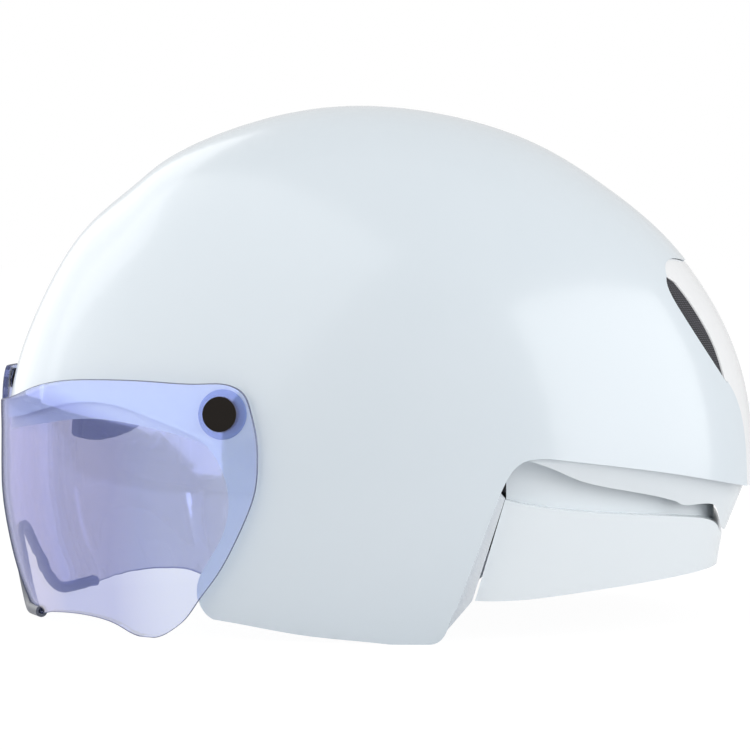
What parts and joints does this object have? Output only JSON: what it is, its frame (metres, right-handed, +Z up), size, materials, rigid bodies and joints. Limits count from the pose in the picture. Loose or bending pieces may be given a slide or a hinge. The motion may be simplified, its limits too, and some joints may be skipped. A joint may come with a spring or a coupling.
{
  "type": "aero time trial helmet",
  "caption": "Smooth aero cycling helmet with a magnetic pull-off visor, ear-covering sides, tail vents, neck skirt, adjustable head cradle and chin straps.",
  "frame": {"origin": "centre of the helmet's length and width, on the table it stands on", "axes": "+Z up, -Y the front that the wearer faces, +X the wearer's left"},
  "size_m": [0.1996, 0.3007, 0.2013],
  "materials": {
    "shell_white": "smooth gloss paint, very pale cool white",
    "insert_white": "smooth gloss paint",
    "foam_white": "moulded expanded foam, painted white",
    "foam_grey": "moulded expanded foam beads",
    "skirt_white": "satin moulded plastic",
    "mesh_dark": "fine woven mesh",
    "lens_tint": "clear polycarbonate with a blue and violet coating",
    "trim_grey": "soft slit tube",
    "magnet_black": "black cap over a magnet",
    "socket_grey": "dark socket over a steel plate",
    "pad_fabric": "brushed knit over foam",
    "web_black": "woven webbing",
    "fitting_black": "moulded fittings",
    "cradle_grey": "flexible moulded band",
    "dial_rubber": "ribbed grip",
    "axle_steel": "plain pin"
  },
  "bodies": {
    "helmet": {"outer_shell": "shell_white", "tail_insert": "insert_white", "vent_mesh_left": "mesh_dark", "vent_mesh_right": "mesh_dark", "liner": "foam_white", "cheek_liner_left": "foam_white", "cheek_liner_right": "foam_white", "tail_ledge": "skirt_white", "neck_skirt": "skirt_white", "neck_liner": "foam_grey", "shell_socket_left": "socket_grey", "shell_socket_right": "socket_grey", "shell_socket_front": "socket_grey", "brow_pad": "pad_fabric", "crown_pad": "pad_fabric", "back_pad": "pad_fabric", "temple_pad_left": "pad_fabric", "temple_pad_right": "pad_fabric", "cradle_guide_left": "fitting_black", "cradle_guide_right": "fitting_black", "strap_anchors": "fitting_black", "strap_front_left": "web_black", "strap_front_right": "web_black", "strap_rear_left": "web_black", "strap_rear_right": "web_black", "strap_divider_left": "fitting_black", "strap_divider_right": "fitting_black", "chin_strap_left": "web_black", "chin_strap_right": "web_black", "buckle_socket": "fitting_black", "buckle_tongue": "fitting_black"},
    "visor": {"visor_lens": "lens_tint", "nose_trim": "trim_grey", "visor_magnet_left": "magnet_black", "visor_magnet_right": "magnet_black", "visor_magnet_front": "magnet_black"},
    "cradle": {"cradle_yoke": "cradle_grey", "dial_housing": "cradle_grey", "nape_pad_left": "pad_fabric", "nape_pad_right": "pad_fabric"},
    "dial": {"fit_dial": "dial_rubber", "dial_axle": "axle_steel"},
    "cam_left": {"cam_lever_left": "fitting_black"},
    "cam_right": {"cam_lever_right": "fitting_black"}
  },
  "joints": [
    {"name": "visor_pull", "type": "slide", "parent": "helmet", "child": "visor", "axis": [0, -1, 0], "range_m": [0, 0.13]},
    {"name": "cradle_slide", "type": "slide", "parent": "helmet", "child": "cradle", "axis": [0, -1, 0], "range_m": [0, 0.014]},
    {"name": "dial_turn", "type": "hinge", "parent": "cradle", "child": "dial", "pos_m": [0, 0.0935, 0.0432], "axis": [0, 1, 0], "range_deg": [0, 540]},
    {"name": "cam_left_lift", "type": "hinge", "parent": "helmet", "child": "cam_left", "pos_m": [0.0778, 0.0027, 0.0244], "axis": [0, -1, 0], "range_deg": [0, 95]},
    {"name": "cam_right_lift", "type": "hinge", "parent": "helmet", "child": "cam_right", "pos_m": [-0.0778, 0.0027, 0.0244], "axis": [0, 1, 0], "range_deg": [0, 95]}
  ],
  "couplings": [
    {"joint": "cradle_slide", "follows": "dial_turn", "m_per_rad": 0.001485}
  ]
}
